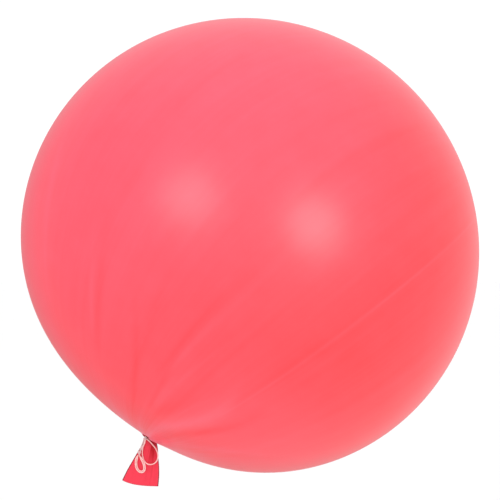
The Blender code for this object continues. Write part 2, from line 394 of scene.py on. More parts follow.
# And at the winding, painted darker and redder for the shade and the red light in the crease round it
twineInCreaseShade = cottonTwineMaterial("creaseShadedTwine", *twine["creaseShadedCotton"])
twineSizes = {
    "Plies": twine["plies"],
    "Ply Radius": twine["diameter"] * twine["plyShare"],
    "Ply Offset": twine["diameter"] * twine["offsetShare"],
    "Turn Length": twine["turnLength"],
    "Path Step": twine["pathStep"],
    "Sides": twine["plySides"],
    "Finish": cotton,
}
twinePlies = twineTree(twineSizes)


def addTwine(name, finish, *runs):
    return grow(name, twinePlies, {**twineSizes, "Finish": finish}, curveThrough(name, runs))


def sideStrand(route, offset):
    # One of two strands that lie one over the other at the knot, and side by side lower down
    step = twine["strandStep"]
    points = evenPath(route, step)
    ahead = np.gradient(points, axis=0)
    across = np.column_stack([ahead[:, 2], np.zeros(len(points)), -ahead[:, 0]])
    across /= np.linalg.norm(across, axis=1)[:, None]
    stepsIn = np.arange(len(points))
    fromEnd = np.minimum(stepsIn, stepsIn[::-1]) * step
    turned = np.clip(fromEnd / twine["strandTurn"], 0, 1) * math.pi / 2
    beside = np.sin(turned)[:, None] * across
    inFront = np.cos(turned)[:, None] * np.array([0.0, -1.0, 0.0])
    return points + offset * (beside + inFront)


def lengthOf(points):
    return float(np.linalg.norm(np.diff(points, axis=0), axis=1).sum())


def declareLoop(name, standsFor, points):
    loop = addTwine(name, cotton, points)
    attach(loop, "balloon")
    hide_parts(standsFor)
    print(name, "is", round(1000 * lengthOf(points), 1), "mm long")


halfSpacing = twine["strandSpacing"] / 2
declareLoop("largeLoop", "bow_loop_large", evenPath(largeLoopRoute, twine["pathStep"]))
for loopName, standsFor, side in (
    ("smallLoopOuter", "bow_loop_small_outer", 1),
    ("smallLoopInner", "bow_loop_small_inner", -1),
):
    strand = evenPath(sideStrand(smallLoopRoute, side * halfSpacing), twine["pathStep"])
    declareLoop(loopName, standsFor, strand)
print("bow loops laid")


# Knots and winding

knots = {
    "tieKnotAt": (-0.2028, -0.0376, -0.3769),
    "tieKnotSize": (0.00092, 0.00080, 0.00098),  # scale of the crossing turns: wide, high and deep
    "tieKnotLean": 0.4,
    "tieKnotTurn": 0.4,
    "bowKnotAt": (-0.2147, -0.0372, -0.4055),
    "bowKnotSize": (0.00090, 0.00118, 0.00095),
    "knotPoints": 90,
    "windingTurns": 3,
    "windingRadius": 0.0062,
    "windingStart": 130,  # degrees round the throat
    "windingPoints": 60,  # for each turn
}


def knotPath(middle, size, facing, turn):
    # A pulled-tight overhand knot: a trefoil that faces the way it is seen
    t = np.linspace(0, 2 * math.pi, knots["knotPoints"])
    wide = size[0] * (np.sin(t) + 2 * np.sin(2 * t))
    high = size[1] * (np.cos(t) - 2 * np.cos(2 * t))
    deep = -size[2] * np.sin(3 * t)
    turned = Vector(facing).to_track_quat("Z", "Y").to_matrix() @ Matrix.Rotation(turn, 3, "Z")
    return np.column_stack([wide, high, deep]) @ np.array(turned).T + np.array(middle)


def windingPath():
    # String wound round the gathered throat, its turns touching
    turns = knots["windingTurns"]
    t = np.linspace(0, 1, knots["windingPoints"] * turns)
    angle = 2 * math.pi * turns * t + math.radians(knots["windingStart"])
    height = tieAt + twine["diameter"] * (turns - 1) * (t - 0.5)
    ring = np.outer(np.cos(angle), rightAxis) + np.outer(np.sin(angle), frontAxis)
    return knots["windingRadius"] * ring + np.outer(height, throatAxis)


def addKnots():
    toFront = Vector((0, -1, 0))
    facing = toFront - knots["tieKnotLean"] * rightAxis
    tieKnot = knotPath(knots["tieKnotAt"], knots["tieKnotSize"], facing, knots["tieKnotTurn"])
    bowKnot = knotPath(knots["bowKnotAt"], knots["bowKnotSize"], toFront, 0.0)
    tailRuns = [evenPath(route, twine["pathStep"]) for route in (tailRoute, innerTailRoute)]
    for name, standsFor, finish, runs in (
        # the winding takes the twine painted for the crease shade
        ("tieTurns", "tie_winding", twineInCreaseShade, [windingPath()]),
        # the knots take the twine painted greyer for shade
        ("tieKnot", "tie_knot", twineInShade, [tieKnot]),
        ("bowKnot", "bow_knot", twineInShade, [bowKnot, *tailRuns]),
    ):
        piece = addTwine(name, finish, *runs)
        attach(piece, "balloon")
        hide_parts(standsFor)


addKnots()
print("winding and knots tied")


# Inflated skin

skin = {
    "radius": 0.4616,
    "squash": 0.0117,  # shorter along the line from the throat to the crown
    "squashTowards": 49.5,
    "lopsided": (0.0044, 0.0, 0.0039),
    "flatTowards": 232.0,
    "flatLean": 4.0,
    "flatDepth": 0.0234,
    "flatSpread": 24.0,
    "segments": 300,
    "rings": 220,
    "ringCrowding": 3.0,  # rings close up towards the throat
    "lipAngle": 1.40,  # the lip of skin round the tie, in degrees from the throat axis
    "tightSpread": 0.80,  # how soon the lip runs out, at the left and at the right
    "looseSpread": 3.0,
    "tightBefore": -0.35,  # where the one turns into the other, from -1 at the left to 1 at the right
    "looseAfter": 0.95,
    "lipLowest": -0.0045,
    "lipHighest": 0.0020,
    "floorDepth": 0.0058,
    "wallFrom": 1.12,
    "wallTo": 1.32,
    "pleatDepth": 0.0010,
    "pleatCount": 4.6,
    "pleatDrift": 0.05,
    "pleatFade": 2.6,
}
# Height of the lip over the middle of the tie, in mm, at each turn round the throat (0 right, 90 front)
lipLine = (
    (-180, 1.2),
    (-140, -0.3),
    (-90, -0.9),
    (-45, -1.1),
    (-5, -1.6),
    (14, -1.5),
    (32, -0.8),
    (55, 0.0),
    (78, 0.3),
    (92, -0.6),
    (101, -2.3),
    (116, -2.2),
    (128, -1.2),
    (142, -0.6),
    (155, 1.0),
    (180, 1.2),
)


def directionOf(towards, lean):
    # An angle in the picture's plane, 0 at the right and 90 at the top, with a lean to the front
    turn, tilt = math.radians(towards), math.radians(lean)
    inPlane = math.cos(tilt)
    return Vector((inPlane * math.cos(turn), -math.sin(tilt), inPlane * math.sin(turn)))


def toThroatFrame(vector):
    return (vector.dot(rightAxis), vector.dot(frontAxis), vector.dot(throatAxis))


def drawLine(mapping, line):
    # Puts the lip's heights on a curve node, both axes from 0 to 1
    low, high = 1000 * skin["lipLowest"], 1000 * skin["lipHighest"]
    curve = mapping.curves[0]
    while len(curve.points) < len(line):
        curve.points.new(0.5, 0.5)
    for point, (turn, height) in zip(curve.points, line):
        point.location = ((turn + 180) / 360, (height - low) / (high - low))
    mapping.update()


def skinTree(sizes):
    # Built with the throat at +Z, then turned to its place
    tree, given = shapeTree("inflatedSkin", sizes)
    ball = addNode(
        tree,
        "GeometryNodeMeshUVSphere",
        links={"Segments": given["Segments"], "Rings": given["Rings"], "Radius": 1.0},
    )
    place = addNode(tree, "GeometryNodeInputPosition")
    height = addNode(tree, "ShaderNodeSeparateXYZ", links={0: place})
    # Angle from the throat axis, crowded towards the throat
    evenAngle = addNode(tree, "ShaderNodeMath", "ARCCOSINE", {0: height.outputs["Z"]})
    share = addNode(tree, "ShaderNodeMath", "DIVIDE", {0: evenAngle, 1: math.pi})
    crowded = addNode(tree, "ShaderNodeMath", "POWER", {0: share, 1: given["Ring Crowding"]})
    away = addNode(tree, "ShaderNodeMath", "MULTIPLY", {0: crowded, 1: 180.0})
    angle = addNode(tree, "ShaderNodeMath", "RADIANS", {0: away})
    # Direction round the throat, and the direction of the point seen from the middle
    flatPlace = addNode(tree, "ShaderNodeVectorMath", "MULTIPLY", {0: place, 1: (1, 1, 0)})
    around = addNode(tree, "ShaderNodeVectorMath", "NORMALIZE", {0: flatPlace})
    sine = addNode(tree, "ShaderNodeMath", "SINE", {0: angle})
    cosine = addNode(tree, "ShaderNodeMath", "COSINE", {0: angle})
    outward = addNode(tree, "ShaderNodeVectorMath", "SCALE", {0: around, "Scale": sine})
    upward = addNode(tree, "ShaderNodeCombineXYZ", links={"Z": cosine})
    towards = addNode(tree, "ShaderNodeVectorMath", "ADD", {0: outward, 1: upward})
    # Flatter on the side where the neck pulls
    nearness = addNode(
        tree, "ShaderNodeVectorMath", "DOT_PRODUCT", {0: towards, 1: given["Flat Direction"]}
    ).outputs["Value"]
    flatAngle = addNode(tree, "ShaderNodeMath", "ARCCOSINE", {0: nearness})
    flatBell = bellCurve(tree, flatAngle, given["Flat Spread"])
    flatness = addNode(tree, "ShaderNodeMath", "MULTIPLY", {0: flatBell, 1: given["Flat Depth"]})
    # A little shorter along the axis, and a little lopsided
    axial = addNode(
        tree, "ShaderNodeVectorMath", "DOT_PRODUCT", {0: towards, 1: given["Squash Direction"]}
    ).outputs["Value"]
    axialSquare = addNode(tree, "ShaderNodeMath", "MULTIPLY", {0: axial, 1: axial})
    squash = addNode(tree, "ShaderNodeMath", "MULTIPLY", {0: axialSquare, 1: given["Squash"]})
    offCentre = addNode(
        tree, "ShaderNodeVectorMath", "DOT_PRODUCT", {0: towards, 1: given["Lopsided"]}
    ).outputs["Value"]
    reach = addNode(tree, "ShaderNodeMath", "ADD", {0: given["Radius"], 1: offCentre})
    squashed = addNode(tree, "ShaderNodeMath", "SUBTRACT", {0: reach, 1: squash})
    body = addNode(tree, "ShaderNodeMath", "SUBTRACT", {0: squashed, 1: flatness})
    # Lip of skin round the tie: its height follows a line drawn round the throat
    sides = addNode(tree, "ShaderNodeSeparateXYZ", links={0: around})
    turnRound = addNode(
        tree, "ShaderNodeMath", "ARCTAN2", {0: sides.outputs["Y"], 1: sides.outputs["X"]}
    )
    turnShare = addNode(
        tree,
        "ShaderNodeMapRange",
        links={"Value": turnRound, "From Min": -math.pi, "From Max": math.pi},
    )
    line = addNode(tree, "ShaderNodeFloatCurve", links={"Value": turnShare})
    drawLine(line.mapping, lipLine)
    lipLevel = addNode(
        tree,
        "ShaderNodeMapRange",
        links={"Value": line, "To Min": given["Lip Lowest"], "To Max": given["Lip Highest"]},
    )
    lipRise = addNode(tree, "ShaderNodeMath", "SUBTRACT", {0: lipLevel, 1: given["Throat Level"]})
    spread = addNode(
        tree,
        "ShaderNodeMapRange",
        eased,
        {
            "Value": sides.outputs["X"],
            "From Min": given["Tight Before"],
            "From Max": given["Loose After"],
            "To Min": given["Tight Spread"],
            "To Max": given["Loose Spread"],
        },
    )
    pastLip = addNode(tree, "ShaderNodeMath", "SUBTRACT", {0: away, 1: given["Lip Angle"]})
    beyond = addNode(tree, "ShaderNodeMath", "MAXIMUM", {0: pastLip, 1: 0.0})
    lipBell = bellCurve(tree, beyond, spread)
    raised = addNode(tree, "ShaderNodeMath", "MULTIPLY_ADD", {0: lipRise, 1: lipBell, 2: body})
    # Gathered pleats that run out from the lip and fade
    pleatPlace = addNode(
        tree, "ShaderNodeVectorMath", "SCALE", {0: around, "Scale": given["Pleat Count"]}
    )
    drift = addNode(tree, "ShaderNodeMath", "MULTIPLY", {0: away, 1: given["Pleat Drift"]})
    driftHeight = addNode(tree, "ShaderNodeCombineXYZ", links={"Z": drift})
    pleatPoint = addNode(tree, "ShaderNodeVectorMath", "ADD", {0: pleatPlace, 1: driftHeight})
    pleats = addNode(
        tree,
        "ShaderNodeTexNoise",
        links={"Vector": pleatPoint, "Scale": 1.0, "Detail": 1.5, "Roughness": 0.6},
    )
    centred = addNode(tree, "ShaderNodeMath", "SUBTRACT", {0: pleats, 1: 0.5})
    fadeShare = addNode(tree, "ShaderNodeMath", "DIVIDE", {0: beyond, 1: given["Pleat Fade"]})
    fadeDown = addNode(tree, "ShaderNodeMath", "MULTIPLY", {0: fadeShare, 1: -1.0})
    fade = addNode(tree, "ShaderNodeMath", "EXPONENT", {0: fadeDown})
    pleatSize = addNode(tree, "ShaderNodeMath", "MULTIPLY", {0: fade, 1: given["Pleat Depth"]})
    pleated = addNode(tree, "ShaderNodeMath", "MULTIPLY_ADD", {0: centred, 1: pleatSize, 2: raised})
    # Inside the lip the skin turns in, down to the gather under the winding
    wall = addNode(
        tree,
        "ShaderNodeMapRange",
        eased,
        {"Value": away, "From Min": given["Wall From"], "From Max": given["Wall To"]},
    )
    aboveFloor = addNode(tree, "ShaderNodeMath", "SUBTRACT", {0: pleated, 1: given["Floor Level"]})
    distance = addNode(
        tree, "ShaderNodeMath", "MULTIPLY_ADD", {0: aboveFloor, 1: wall, 2: given["Floor Level"]}
    )
    point = addNode(tree, "ShaderNodeVectorMath", "SCALE", {0: towards, "Scale": distance})
    shaped = addNode(
        tree, "GeometryNodeSetPosition", links={"Geometry": ball.outputs["Mesh"], "Position": point}
    )
    turned = addNode(
        tree, "GeometryNodeTransform", links={"Geometry": shaped, "Rotation": given["Turn"]}
    )
    closeTree(tree, turned, given["Finish"])
    return tree


# The stretch lines of the latex run in planes through the chord from the throat to the crown
stretch = {
    "crown": (0.774, 0.632, 0.041),
    # Painted shade low on the right and painted light high on the left
    "shadedSideSkin": "#FC4550",
    "litSideSkin": "#FC4F65",
    "throatSkin": "#FC6476",
    # Partly the unstretched latex, partly painted shade in the crease at the tie
    "tuckShadeSkin": "#A81426",
    "cloudSize": 0.055,
    "cloudStrength": 0.13,
    # Broad bands, streaks and hairlines: how fine across and along, and their weight
    "streakNoises": ((7.0, 1.2, 0.35), (24.0, 2.2, 0.38), (80.0, 3.5, 0.33)),
    "streakContrast": (0.35, 0.65),
    "streakStrength": 0.85,
    "throatStreaks": 1.0,
    "farStreaks": 0.09,
    "streakReach": 0.80,
    "lineOpening": 0.02,  # how gently a single line starts and ends, along the chord
    "lineClosing": (0.10, 0.04),
    # Direction and range of the painted light and shade across the skin
    "litSideTowards": (-0.5, 0.0, 0.85),
    "litSideRange": (-0.75, 0.95),
    "bloomRange": (0.02, 0.50),  # distance from the throat over which its bloom fades
    "tuckMiddle": (-0.009, 0.015),  # right and front of the throat
    "tuckRange": (0.0240, 0.0285),
    "frontRoughness": 0.32,
    "backRoughness": 0.65,
    "dustDepth": 0.25,
    "lineBump": 0.35,
    "lineDepth": 0.0008,
}
# Single lines that show: turn about the chord, its drift and bend, and half width, in degrees, start
# and end along the chord (0 throat, 1 crown), and strength, paler above 0 and deeper below
stretchLines = (
    (2.85, -2.8, 2.6, 0.25, 0.06, 0.94, 0.20),
    (1.95, -2.8, 2.6, 0.60, 0.10, 0.92, -0.09),
    (-19.8, 0.0, 0.0, 0.55, 0.37, 0.84, -0.08),
    (-1.0, 95.0, -900.0, 1.50, -0.05, 0.10, 0.62),
    (3.4, 95.0, -450.0, 1.10, -0.012, 0.12, -0.46),
    (6.2, 215.0, 0.0, 1.50, -0.03, 0.03, -0.28),
    (10.8, 140.0, -200.0, 1.20, 0.00, 0.14, 0.28),
    (14.5, 140.0, -200.0, 1.40, 0.00, 0.14, -0.14),
    (-7.3, 60.0, -900.0, 1.60, -0.04, 0.06, -0.30),
    (-12.3, 20.0, 0.0, 1.20, -0.04, 0.05, 0.28),
    (-5.1, 40.0, 0.0, 0.45, -0.01, 0.05, 0.24),
    (-15.2, -25.0, 0.0, 0.70, -0.05, 0.05, -0.26),
    (-15.5, 5.0, 0.0, 0.50, 0.01, 0.14, 0.18),
    (-17.5, 6.0, 0.0, 0.60, 0.00, 0.22, -0.13),
    (-12.0, 15.0, 0.0, 0.35, 0.02, 0.14, 0.14),
    (-26.6, -97.0, 0.0, 0.90, -0.07, 0.03, -0.28),
    (-24.0, -28.0, 0.0, 0.80, -0.02, 0.12, -0.10),
    (-38.9, -37.0, 0.0, 0.90, -0.06, 0.08, -0.20),
    (-41.4, -45.0, 0.0, 0.50, -0.04, 0.05, 0.20),
    (-59.0, -20.0, 0.0, 0.80, -0.06, 0.22, 0.12),
    (-8.0, 0.0, 0.0, 0.50, 0.02, 0.30, -0.06),
    (15.0, 0.0, 0.0, 1.20, 0.20, 0.60, 0.06),
    (21.0, 0.0, 0.0, 1.60, 0.10, 0.55, 0.08),
    (18.0, 0.0, 0.0, 0.80, 0.25, 0.58, -0.07),
)
# Broad patches of painted light and shade: direction from the middle, reach, and strength
paintedLightPatches = (
    ((0.007, -0.557, -0.830), 0.7, 0.49),
    ((-0.557, -0.730, -0.397), 0.7, -0.01),
    ((0.528, -0.727, -0.440), 0.8, -0.33),
    ((-0.006, -0.575, 0.818), 0.7, 0.06),
    ((0.788, -0.561, 0.254), 0.7, -0.29),
    ((0.007, -0.975, -0.223), 0.6, -0.11),
    ((-0.440, -0.100, -0.892), 0.24, 0.28),
)


def latexSkinMaterial(look):
    # Balloon latex, dipped, blown up and dusted: satin, even, with faint lines where it stretched
    material, tree, shader = shaderFor("powderedLatex", {"IOR": 1.6})
    crown = Vector(look["crown"]).normalized()
    chord = (crown - throatAxis).normalized()
    toViewer = Vector((0, -1, 0))
    toViewer = (toViewer - chord * toViewer.dot(chord)).normalized()
    across = chord.cross(toViewer)
    place = addNode(tree, "ShaderNodeTexCoord").outputs["Object"]
    outward = addNode(tree, "ShaderNodeVectorMath", "NORMALIZE", {0: place})
    fromThroat = addNode(tree, "ShaderNodeVectorMath", "SUBTRACT", {0: outward, 1: tuple(throatAxis)})
    cosine, sine, ahead = [
        addNode(
            tree, "ShaderNodeVectorMath", "DOT_PRODUCT", {0: fromThroat, 1: tuple(axis)}
        ).outputs["Value"]
        for axis in (toViewer, across, chord / (crown - throatAxis).length)
    ]
    flatFan = addNode(tree, "ShaderNodeCombineXYZ", links={0: cosine, 1: sine})
    fan = addNode(tree, "ShaderNodeVectorMath", "NORMALIZE", {0: flatFan})
    alongChord = addNode(tree, "ShaderNodeCombineXYZ", links={2: ahead})
    fanPlace = addNode(tree, "ShaderNodeVectorMath", "ADD", {0: fan, 1: alongChord})
    # Noises drawn out along the stretch lines
    bands = None
    for fineness, along, weight in look["streakNoises"]:
        scaled = addNode(
            tree, "ShaderNodeMapping", links={"Vector": fanPlace, "Scale": (fineness, fineness, along)}
        )
        noise = addNode(
            tree, "ShaderNodeTexNoise", links={"Vector": scaled, "Scale": 1.0, "Detail": 2.0}
        )
        bands = addNode(tree, "ShaderNodeMath", "MULTIPLY_ADD", {0: noise, 1: weight, 2: bands or 0.0})
    darkest, palest = look["streakContrast"]
    centred = addNode(
        tree,
        "ShaderNodeMapRange",
        links={"Value": bands, "From Min": darkest, "From Max": palest, "To Min": -1.0, "To Max": 1.0},
    )
    # They are strong where the skin gathers at the throat and soon fade
    nearThroat = addNode(tree, "ShaderNodeVectorMath", "LENGTH", {0: fromThroat}).outputs["Value"]
    fading = addNode(
        tree,
        "ShaderNodeMapRange",
        softlyEased,
        {
            "Value": nearThroat,
            "From Min": 0.0,
            "From Max": look["streakReach"],
            "To Min": look["throatStreaks"],
            "To Max": look["farStreaks"],
        },
    )
    faded = addNode(tree, "ShaderNodeMath", "MULTIPLY", {0: centred, 1: fading})
    clouds = addNode(
        tree,
        "ShaderNodeTexNoise",
        links={"Vector": place, "Scale": 1 / look["cloudSize"], "Detail": 4.0, "Roughness": 0.6},
    )
    clouded = addNode(tree, "ShaderNodeMath", "SUBTRACT", {0: clouds, 1: 0.5})
    cloudShift = addNode(tree, "ShaderNodeMath", "MULTIPLY", {0: clouded, 1: look["cloudStrength"] * 2})
    shift = addNode(
        tree, "ShaderNodeMath", "MULTIPLY_ADD", {0: faded, 1: look["streakStrength"], 2: cloudShift}
    )
    turn = addNode(tree, "ShaderNodeMath", "ARCTAN2", {0: sine, 1: cosine})
    turnDegrees = addNode(tree, "ShaderNodeMath", "DEGREES", {0: turn})
    opens = look["lineOpening"]
    closesBefore, closesAfter = look["lineClosing"]
    for start, drift, bend, width, begins, ends, strength in stretchLines:
        slope = addNode(tree, "ShaderNodeMath", "MULTIPLY_ADD", {0: ahead, 1: bend, 2: drift})
        middle = addNode(tree, "ShaderNodeMath", "MULTIPLY_ADD", {0: ahead, 1: slope, 2: start})
        off = addNode(tree, "ShaderNodeMath", "SUBTRACT", {0: turnDegrees, 1: middle})
        bell = bellCurve(tree, off, width)
        opening = addNode(
            tree,
            "ShaderNodeMapRange",
            eased,
            {"Value": ahead, "From Min": begins - opens, "From Max": begins + opens},
        )
        closing = addNode(
            tree,
            "ShaderNodeMapRange",
            eased,
            {
                "Value": ahead,
                "From Min": ends - closesBefore,
                "From Max": ends + closesAfter,
                "To Min": strength,
                "To Max": 0.0,
            },
        )
        shown = addNode(tree, "ShaderNodeMath", "MULTIPLY", {0: opening, 1: closing})
        shift = addNode(tree, "ShaderNodeMath", "MULTIPLY_ADD", {0: bell, 1: shown, 2: shift})
    # Broad patches of painted light and shade, paler low at the front and deeper at the right
    for towards, reach, strength in paintedLightPatches:
        offPatch = addNode(
            tree, "ShaderNodeVectorMath", "DISTANCE", {0: outward, 1: towards}
        ).outputs["Value"]
        patch = addNode(
            tree,
            "ShaderNodeMapRange",
            softlyEased,
            {
                "Value": offPatch,
                "From Min": 0.0,
                "From Max": reach,
                "To Min": strength,
                "To Max": 0.0,
            },
        )
        shift = addNode(tree, "ShaderNodeMath", "ADD", {0: shift, 1: patch})
    # Painted light and shade: paler and pinker high on the left, where the light falls, than low on the
    # right
    height = addNode(
        tree, "ShaderNodeVectorMath", "DOT_PRODUCT", {0: outward, 1: look["litSideTowards"]}
    ).outputs["Value"]
    litSideShare = addNode(
        tree,
        "ShaderNodeMapRange",
        eased,
        {"Value": height, "From Min": look["litSideRange"][0], "From Max": look["litSideRange"][1]},
    )
    ground = addNode(
        tree,
        "ShaderNodeMix",
        ofColours,
        {0: litSideShare, 6: linearColour(look["shadedSideSkin"]), 7: linearColour(look["litSideSkin"])},
    )
    bloomFull, bloomGone = look["bloomRange"]
    throatShare = addNode(
        tree,
        "ShaderNodeMapRange",
        eased,
        {
            "Value": nearThroat,
            "From Min": bloomFull,
            "From Max": bloomGone,
            "To Min": 1.0,
            "To Max": 0.0,
        },
    )
    bloomed = addNode(
        tree,
        "ShaderNodeMix",
        ofColours,
        {0: throatShare, 6: ground.outputs[2], 7: linearColour(look["throatSkin"])},
    )
    # A streak changes how much white shows through the latex, and never its red
    shiftColour = addNode(tree, "ShaderNodeCombineXYZ", links={1: shift, 2: shift})
    gain = addNode(tree, "ShaderNodeVectorMath", "ADD", {0: shiftColour, 1: (1, 1, 1)})
    streaked = addNode(tree, "ShaderNodeVectorMath", "MULTIPLY", {0: bloomed.outputs[2], 1: gain})
    # Tucked in at the tie the skin is hardly stretched, so a little deeper red, and the crease there is
    # painted dark red for its shade, further out at the front
    toRight, toFront = look["tuckMiddle"]
    tuckMiddle = throatAxis + toRight * rightAxis + toFront * frontAxis
    offTie = addNode(
        tree, "ShaderNodeVectorMath", "DISTANCE", {0: outward, 1: tuple(tuckMiddle)}
    ).outputs["Value"]
    tuckFull, tuckGone = look["tuckRange"]
    tucked = addNode(
        tree,
        "ShaderNodeMapRange",
        eased,
        {"Value": offTie, "From Min": tuckFull, "From Max": tuckGone, "To Min": 1.0, "To Max": 0.0},
    )
    lined = addNode(
        tree, "ShaderNodeMix", ofColours, {0: tucked, 6: streaked, 7: linearColour(look["tuckShadeSkin"])}
    )
    tree.links.new(lined.outputs[2], shader.inputs["Base Color"])
    # The powder lies thicker, so duller, on the back than on the handled front, and in the tuck
    depth = addNode(tree, "ShaderNodeSeparateXYZ", links={0: outward})
    dust = addNode(
        tree,
        "ShaderNodeMapRange",
        eased,
        {
            "Value": depth.outputs["Y"],
            "From Min": -look["dustDepth"],
            "From Max": look["dustDepth"],
            "To Min": look["frontRoughness"],
            "To Max": look["backRoughness"],
        },
    )
    dulled = addNode(
        tree, "ShaderNodeMath", {"operation": "ADD", "use_clamp": True}, {0: dust, 1: tucked}
    )
    tree.links.new(dulled.outputs[0], shader.inputs["Roughness"])
    bump = addNode(
        tree,
        "ShaderNodeBump",
        links={"Height": shift, "Strength": look["lineBump"], "Distance": look["lineDepth"]},
    )
    tree.links.new(bump.outputs[0], shader.inputs["Normal"])
    return material


def addSkin():
    flatSide = directionOf(skin["flatTowards"], skin["flatLean"])
    squashSide = directionOf(skin["squashTowards"], 0)
    lopsided = Vector(skin["lopsided"])
    # How far out the body would reach at the throat, without its lip
    offFlat = math.degrees(flatSide.angle(throatAxis)) / skin["flatSpread"]
    throatLevel = (
        skin["radius"]
        + lopsided.dot(throatAxis)
        - skin["squash"] * squashSide.dot(throatAxis) ** 2
        - skin["flatDepth"] * math.exp(-0.5 * offFlat**2)
    )
    turn = Matrix((rightAxis, frontAxis, throatAxis)).transposed().to_euler()
    # Each measure is an input of the skin's tree by the same name; these four lead to others
    leading = ("squashTowards", "flatTowards", "flatLean", "floorDepth")
    sizes = {spoken(key): value for key, value in skin.items() if key not in leading}
    sizes.update({
        "Squash Direction": toThroatFrame(squashSide),
        "Lopsided": toThroatFrame(lopsided),
        "Flat Direction": toThroatFrame(flatSide),
        "Flat Spread": math.radians(skin["flatSpread"]),
        "Lip Lowest": tieAt + skin["lipLowest"],
        "Lip Highest": tieAt + skin["lipHighest"],
        "Throat Level": throatLevel,
        "Floor Level": tieAt - skin["floorDepth"],
        "Turn": tuple(turn),
        "Finish": latexSkinMaterial(stretch),
    })
    envelope = grow("inflatedSkin", skinTree(sizes), sizes, bpy.data.meshes.new("seed"))
    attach(envelope, "balloon")
    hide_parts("envelope")


addSkin()
print("skin blown up")


# Slack neck

neck = {
    "lean": 12,  # degrees, towards the left
    "aroundPoints": 120,
    "rowsPerSpan": 7,
    "wall": 0.0005,
    "midDepth": -0.0303,
    "blendFrom": 0.000,
    "blendTo": 0.042,
    "sidePower": 0.8,  # how the points crowd towards the two edges, and how flat the tube lies
    "flatPower": 0.55,
    "foldPower": 6,  # the folds run out at the edges
    # The mouth hangs lower in its middle, and lower at the left (mm), from mouthFrom down
    "mouthBow": 4.3,
    "mouthTilt": -2.8,
    "bowPower": 0.75,
    "mouthFrom": 8,
    "mouthAt": 84.6,
    # The fold that hangs inside the large loop: at a share of the width, and how far down it fades
    "panelAt": 0.72,
    "panelWide": 0.13,
    "panelDepth": 1.3,
    "panelReach": 60,
    "panelLeast": 0.15,
    # The swelling beside it, and the small waves: height, number across the width, start
    "bulgeAt": 0.30,
    "bulgeWide": 0.14,
    "bulgeHeight": 0.45,
    "frontWaves": ((0.14, 7.3, 0.0), (0.12, 12.1, 0.3)),
    "backWaves": ((0.6, 2.3, 0.4), (0.3, 5.1, 0.0)),
    # The slack red is the latex's own; the fold, tie and edge reds below are painted shade, the edge one
    # partly a double layer of latex
    "slackRed": "#EE3E54",
    "foldShadeRed": "#BE0A1E",
    "tieShadeRed": "#980616",
    "edgeShadeRed": "#701020",
    "mottleWidth": 1 / 90,
    "mottleShare": 0.35,
    "foldShadeRange": (0.15, 1.1),
    "mottleBump": 0.3,
    "mottleDepth": 0.0005,
    "deepFold": 1.05,  # mm of depth at which a fold has its full shade
    "edgeFrom": 0.93,
    "edgeWide": 0.05,
    "rimFrom": 83.6,
    "rimShade": 0.5,
    "tieReach": 9,
    "tieShade": 0.8,
}
# Each row of the neck, in mm: distance below the hinge, left and right edge, half thickness, fold height
neckRows = (
    (-2.6, -5.3, 5.3, 5.3, 0.0),
    (-3.4, -5.6, 9.0, 5.9, 0.1),
    (-3.9, -5.9, 13.5, 6.3, 0.2),
    (-3.4, -6.2, 17.6, 6.0, 0.4),
    (-0.8, -6.8, 19.7, 5.4, 0.6),
    (2.6, -7.6, 21.2, 4.8, 0.9),
    (7.4, -9.1, 23.2, 4.3, 1.1),
    (16.0, -12.0, 25.6, 3.6, 1.1),
    (30.0, -16.5, 29.3, 3.1, 0.9),
    (44.0, -21.2, 33.4, 2.8, 0.6),
    (60.0, -26.4, 36.9, 2.6, 0.45),
    (73.0, -30.0, 38.8, 2.4, 0.4),
    (84.6, -32.9, 40.0, 2.2, 0.35),
)


def slackLatexMaterial(look):
    # The same latex unstretched: thicker, so deeper in colour, and dull
    material, tree, shader = shaderFor("slackLatex", {"Roughness": 0.55, "IOR": 1.33})
    place = addNode(tree, "ShaderNodeTexCoord").outputs["Object"]
    mottle = addNode(
        tree,
        "ShaderNodeTexNoise",
        links={"Vector": place, "Scale": 1 / look["mottleWidth"], "Detail": 3.0},
    )
    # Painted shade: the fold red goes into the fold valleys, spread by a random mottle
    valley = addNode(tree, "ShaderNodeAttribute", {"attribute_name": "foldDepth"}).outputs["Fac"]
    edgeShadeShare = addNode(tree, "ShaderNodeAttribute", {"attribute_name": "nearEdge"}).outputs["Fac"]
    tieShadeShare = addNode(tree, "ShaderNodeAttribute", {"attribute_name": "nearTie"}).outputs["Fac"]
    deeper = addNode(
        tree, "ShaderNodeMath", "MULTIPLY_ADD", {0: mottle, 1: look["mottleShare"], 2: valley}
    )
    level, deepest = look["foldShadeRange"]
    share = addNode(
        tree, "ShaderNodeMapRange", links={"Value": deeper, "From Min": level, "From Max": deepest}
    )
    folded = addNode(
        tree,
        "ShaderNodeMix",
        ofColours,
        {0: share, 6: linearColour(look["slackRed"]), 7: linearColour(look["foldShadeRed"])},
    )
    # Painted shade under the lip at the tie, deepest towards the right
    tieShaded = addNode(
        tree,
        "ShaderNodeMix",
        ofColours,
        {0: tieShadeShare, 6: folded.outputs[2], 7: linearColour(look["tieShadeRed"])},
    )
    # Painted shade at the rounded side edges and the mouth rim, where the latex also lies double
    edged = addNode(
        tree,
        "ShaderNodeMix",
        ofColours,
        {0: edgeShadeShare, 6: tieShaded.outputs[2], 7: linearColour(look["edgeShadeRed"])},
    )
    tree.links.new(edged.outputs[2], shader.inputs["Base Color"])
    bump = addNode(
        tree,
        "ShaderNodeBump",
        links={"Height": mottle, "Strength": look["mottleBump"], "Distance": look["mottleDepth"]},
    )
    tree.links.new(bump.outputs[0], shader.inputs["Normal"])
    return material


